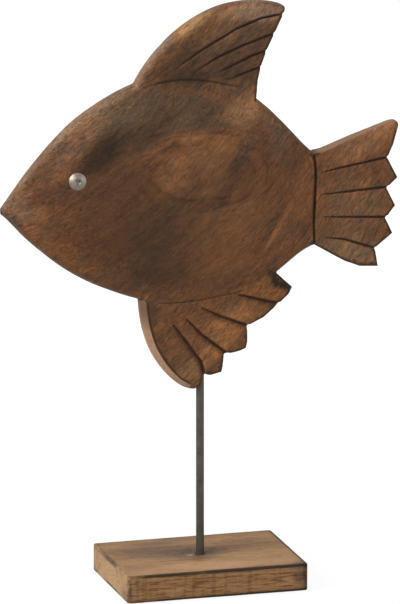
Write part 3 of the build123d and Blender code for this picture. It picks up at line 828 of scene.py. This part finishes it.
def makeBaseWood():
    material, tree, shader = newMaterial("baseWood")
    place = objectPlace(tree)
    axes = put(tree, "SeparateXYZ", {0: place}).outputs
    # growth rings round a pith below the block
    warp = less(tree, grainNoise(tree, place, *baseNoise["warp"]), 0.5)
    below = plus(tree, axes["Z"], baseWood["pithBelow"])
    side = less(tree, axes["Y"], baseWood["pithSide"])
    offset = put(tree, "CombineXYZ", {"X": side, "Y": below}).outputs[0]
    ring = put(tree, "VectorMath", {0: offset}, operation="LENGTH").outputs["Value"]
    ring = plus(tree, ring, times(tree, warp, baseWood["ringWarp"]))
    colour = ramp(tree, ringNoise(tree, ring, baseWood["broadRing"], 2.0), baseWood["rings"])
    # marks of the block
    drift = less(tree, grainNoise(tree, place, *baseNoise["drift"]), 0.5)
    drifted = driftBy(tree, place, baseWood["driftReach"], drift)
    for spot, reach, tone, share in baseMarks:
        feeds = {"Vector": drifted, "Place": [v * mm for v in spot], "Reach": [v * mm for v in reach]}
        mask = useGroup(tree, "woodMark", feeds)["Mask"]
        colour = tint(tree, times(tree, mask, share), colour, (*tone, 1.0))
    line = ringNoise(tree, ring, baseWood["fineRing"], 3.0)
    lines = between(tree, line, 0.50, 0.70, 0.0, baseShare["ringLine"])
    colour = tint(tree, lines, colour, baseWood["ringLine"], "MULTIPLY")
    # dark dashes of the grain and upright bands, which show most on the sawn sides
    dash = grainNoise(tree, place, *baseNoise["dash"])
    sawn = between(tree, axes["Z"], 0.0222, 0.0205, 0.16, 0.75)
    ends = between(tree, calc(tree, "ABSOLUTE", axes["X"]), 0.0678, 0.0692, 1.0, 0.30)
    sawn = times(tree, sawn, ends)
    dashes = times(tree, between(tree, dash, 0.49, 0.64), sawn)
    colour = tint(tree, dashes, colour, baseWood["dash"], "MULTIPLY")
    band = grainNoise(tree, place, *baseNoise["band"])
    bands = times(tree, between(tree, band, 0.48, 0.66), sawn)
    colour = tint(tree, bands, colour, baseWood["band"], "MULTIPLY")
    fibre = useGroup(tree, "woodFibre", {
        "Vector": place, "Length": baseWood["poreLength"], "Width": baseWood["poreWidth"],
    })
    colour = tint(tree, times(tree, fibre["Pores"], baseShare["pore"]), colour, baseWood["pore"], "MULTIPLY")
    colour = tint(tree, times(tree, fibre["Sheen"], baseShare["sheen"]), colour, baseWood["sheen"])
    # edges are scorched, most at the front and on the right
    towards = less(tree, axes["X"], times(tree, axes["Y"], 0.8))
    bare = between(tree, towards, -0.06, 0.08, 0.54, 0.20)
    wide = meshMark(tree, "wideEdge")
    scorch = {"Vector": place, "Carving": wide, "Start": 0.10, "Patch": 0.026, "Bare": bare}
    smudge = useGroup(tree, "woodBurn", scorch)["Edge"]
    colour = tint(tree, times(tree, smudge, baseShare["smudge"]), colour, baseWood["smudge"])
    edge = meshMark(tree, "edge")
    sharp = {"Vector": place, "Carving": edge, "Start": 0.45, "Patch": 0.030, "Bare": bare}
    burn = useGroup(tree, "woodBurn", sharp)["Edge"]
    colour = tint(tree, times(tree, burn, baseShare["burnt"]), colour, baseWood["burnt"])
    tree.links.new(colour, shader.inputs["Base Color"])
    tree.links.new(between(tree, fibre["Pores"], 0.0, 1.0, 0.55, 0.78), shader.inputs["Roughness"])
    shader.inputs["Specular IOR Level"].default_value = 0.12
    relief = less(tree, fibre["Height"], times(tree, dashes, 0.6))
    bump = put(tree, "Bump", {"Height": relief, "Strength": 0.50, "Distance": 0.0004})
    tree.links.new(bump.outputs[0], shader.inputs["Normal"])
    return material


base.data.materials.append(makeBaseWood())
print("base stained")

# metal pieces
metals = {
    "stand_rod": {
        "name": "darkSteel", "low": (0.056, 0.052, 0.039, 1.0), "high": (0.088, 0.082, 0.062, 1.0),
        "patch": 0.006, "scratch": 0.0004, "smooth": 0.42, "dull": 0.62, "metallic": 0.85,
    },
    "left_eye_tack": {
        "name": "dullNickel", "low": (0.17, 0.150, 0.122, 1.0), "high": (0.23, 0.205, 0.165, 1.0),
        "patch": 0.0022, "scratch": 0.0003, "smooth": 0.34, "dull": 0.55, "metallic": 1.0,
        # painted shade in the dimple of the head, darkest at its small centre hole
        "dimpleShade": [
            {"place": (-97.9, 318.1), "reach": 3.2, "tone": (0.100, 0.090, 0.080, 1.0)},
            {"place": (-97.1, 318.6), "reach": 1.0, "tone": (0.030, 0.027, 0.024, 1.0)},
        ],
        "dimpleShadeShare": 0.75, "dimpleShadeCore": 0.45,
    },
    "rod_washer": {
        "name": "zincSteel", "low": (0.44, 0.45, 0.46, 1.0), "high": (0.62, 0.63, 0.64, 1.0),
        "patch": 0.003, "scratch": 0.0003, "smooth": 0.30, "dull": 0.50, "metallic": 1.0,
    },
}


def makeMetal(look):
    material, tree, shader = newMaterial(look["name"])
    place = objectPlace(tree)
    feeds = {"Vector": place, "Patch": look["patch"], "Scratch": look["scratch"]}
    metal = useGroup(tree, "dullMetal", feeds)
    colour = tint(tree, metal["Tone"], look["low"], look["high"])
    # painted shade in the dimple of each tack's head
    for spot in look.get("dimpleShade", []):
        x, z = spot["place"]
        reach = spot["reach"] * mm
        feeds = {
            "Vector": place, "Place": (x * mm, 0.0, z * mm), "Reach": (reach, 1.0, reach),
            "Core": look["dimpleShadeCore"],
        }
        mask = useGroup(tree, "woodMark", feeds)["Mask"]
        colour = tint(tree, times(tree, mask, look["dimpleShadeShare"]), colour, spot["tone"])
    tree.links.new(colour, shader.inputs["Base Color"])
    rough = between(tree, metal["Rough"], 0.10, 0.42, look["smooth"], look["dull"])
    tree.links.new(rough, shader.inputs["Roughness"])
    shader.inputs["Metallic"].default_value = look["metallic"]
    bump = put(tree, "Bump", {"Height": metal["Height"], "Strength": 0.15, "Distance": 0.0001})
    tree.links.new(bump.outputs[0], shader.inputs["Normal"])
    return material


def dress(nodeName, material):
    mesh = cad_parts[nodeName].data
    mesh.materials.clear()
    mesh.materials.append(material)


steel = makeMetal(metals["stand_rod"])
nickel = makeMetal(metals["left_eye_tack"])
zinc = makeMetal(metals["rod_washer"])
dressed = {
    "stand_rod": steel, "left_eye_tack": nickel, "right_eye_tack": nickel,
    "rod_washer": zinc, "rod_nut": zinc,
}
for nodeName, material in dressed.items():
    dress(nodeName, material)
print("metal dressed")

# felt pads
feltPad = {
    "radius": 7.0 * mm, "edge": 0.35 * mm, "voxel": 0.25 * mm, "fuzz": 0.12 * mm, "fuzzSize": 0.8 * mm,
    "fuzzScale": 1800.0, "patchScale": 260.0, "patch": (0.6, 0.6, 0.6, 1.0),
    "dark": (0.045, 0.034, 0.026, 1.0), "light": (0.120, 0.092, 0.070, 1.0),
}
padNodes = ["front_left_pad", "front_right_pad", "rear_left_pad", "rear_right_pad"]


def makeFelt():
    material, tree, shader = newMaterial("pressedFelt")
    place = objectPlace(tree)
    feeds = {"Vector": place, "Scale": feltPad["fuzzScale"], "Detail": 3.0, "Roughness": 0.7}
    fuzz = put(tree, "TexNoise", feeds).outputs["Fac"]
    feeds = {"Vector": place, "Scale": feltPad["patchScale"], "Detail": 2.0}
    patch = put(tree, "TexNoise", feeds).outputs["Fac"]
    tone = tint(tree, between(tree, fuzz, 0.3, 0.7), feltPad["dark"], feltPad["light"])
    worn = between(tree, patch, 0.35, 0.65, 0.0, 0.4)
    tone = tint(tree, worn, tone, feltPad["patch"], "MULTIPLY")
    tree.links.new(tone, shader.inputs["Base Color"])
    shader.inputs["Roughness"].default_value = 0.95
    shader.inputs["Sheen Weight"].default_value = 0.3
    bump = put(tree, "Bump", {"Height": fuzz, "Strength": 0.5, "Distance": 0.0002})
    tree.links.new(bump.outputs[0], shader.inputs["Normal"])
    return material


def makePad(nodeName, felt):
    low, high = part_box(nodeName)
    middle = (low + high) / 2
    deselectAll()
    bpy.ops.mesh.primitive_cylinder_add(
        vertices=72, radius=feltPad["radius"] - feltPad["fuzz"], depth=high.z - low.z, location=middle,
        end_fill_type="TRIFAN",
    )
    pad = bpy.context.object
    pad.name = nodeName.replace("_", " ").title().replace(" ", "")
    bpy.ops.object.transform_apply(location=True, rotation=True, scale=True)
    applyModifier(pad, "BEVEL", width=feltPad["edge"], segments=3, limit_method="ANGLE")
    applyModifier(pad, "REMESH", mode="VOXEL", voxel_size=feltPad["voxel"])
    wool = cloudTexture(nodeName + "Wool", feltPad["fuzzSize"], 2)
    displaceBy(pad, wool, feltPad["fuzz"], 0.6)
    keepInside(pad, nodeName)
    takeUp(pad)
    bpy.ops.object.shade_smooth()
    pad.data.materials.clear()
    pad.data.materials.append(felt)
    settle(pad, [nodeName])


felt = makeFelt()
for nodeName in padNodes:
    makePad(nodeName, felt)
print("pads stuck on")

# floor, world and lights
studio = {
    "floorSize": 60.0, "floorTone": (0.55, 0.55, 0.55, 1.0), "glow": 1.10,
    "nearShare": 0.86, "nearReach": 0.25, "farReach": 0.95,
    "ambient": 0.30, "aim": (0.0, 0.0, 0.22),
    "keyPlace": (-2.3, -1.25, 1.75), "keySize": 1.6, "keyPower": 92.0,
    "fillPlace": (2.2, -2.6, 1.0), "fillSize": 2.4, "fillPower": 28.0,
    "backPlace": (-2.5, 2.0, 1.4), "backSize": 2.4, "backPower": 30.0,
}


def makeFloor():
    deselectAll()
    bpy.ops.mesh.primitive_plane_add(size=studio["floorSize"], location=(0.0, 0.0, 0.0))
    floor = bpy.context.object
    floor.name = "floor"
    material, tree, shader = newMaterial("paleFloor")
    tree.nodes.remove(shader)
    seen = seenRays(tree)
    matte = put(tree, "BsdfDiffuse", {"Color": studio["floorTone"]}).outputs[0]
    glow = put(tree, "Emission", {"Color": (1.0, 1.0, 1.0, 1.0), "Strength": studio["glow"]}).outputs[0]
    place = objectPlace(tree)
    away = put(tree, "VectorMath", {0: place}, operation="LENGTH").outputs["Value"]
    share = between(tree, away, studio["nearReach"], studio["farReach"], studio["nearShare"], 1.0)
    mixed = put(tree, "MixShader", {0: times(tree, seen, share), 1: matte, 2: glow})
    tree.links.new(mixed.outputs[0], tree.nodes["Material Output"].inputs["Surface"])
    floor.data.materials.append(material)


def makeWorld():
    world = bpy.context.scene.world or bpy.data.worlds.new("studio")
    bpy.context.scene.world = world
    world.use_nodes = True
    tree = world.node_tree
    seen = seenRays(tree)
    background = tree.nodes["Background"]
    background.inputs["Color"].default_value = (1.0, 1.0, 1.0, 1.0)
    tree.links.new(between(tree, seen, 0.0, 1.0, studio["ambient"], 1.0), background.inputs["Strength"])


def addLamp(name, place, size, power):
    deselectAll()
    bpy.ops.object.light_add(type="AREA", location=place)
    lamp = bpy.context.object
    lamp.name = name
    lamp.data.size = size
    lamp.data.energy = power
    aim = Vector(studio["aim"]) - Vector(place)
    lamp.rotation_euler = aim.to_track_quat("-Z", "Y").to_euler()


makeFloor()
makeWorld()
addLamp("keyLamp", studio["keyPlace"], studio["keySize"], studio["keyPower"])
addLamp("fillLamp", studio["fillPlace"], studio["fillSize"], studio["fillPower"])
addLamp("backLamp", studio["backPlace"], studio["backSize"], studio["backPower"])
bpy.context.scene.view_settings.view_transform = "Standard"
print("studio lit")
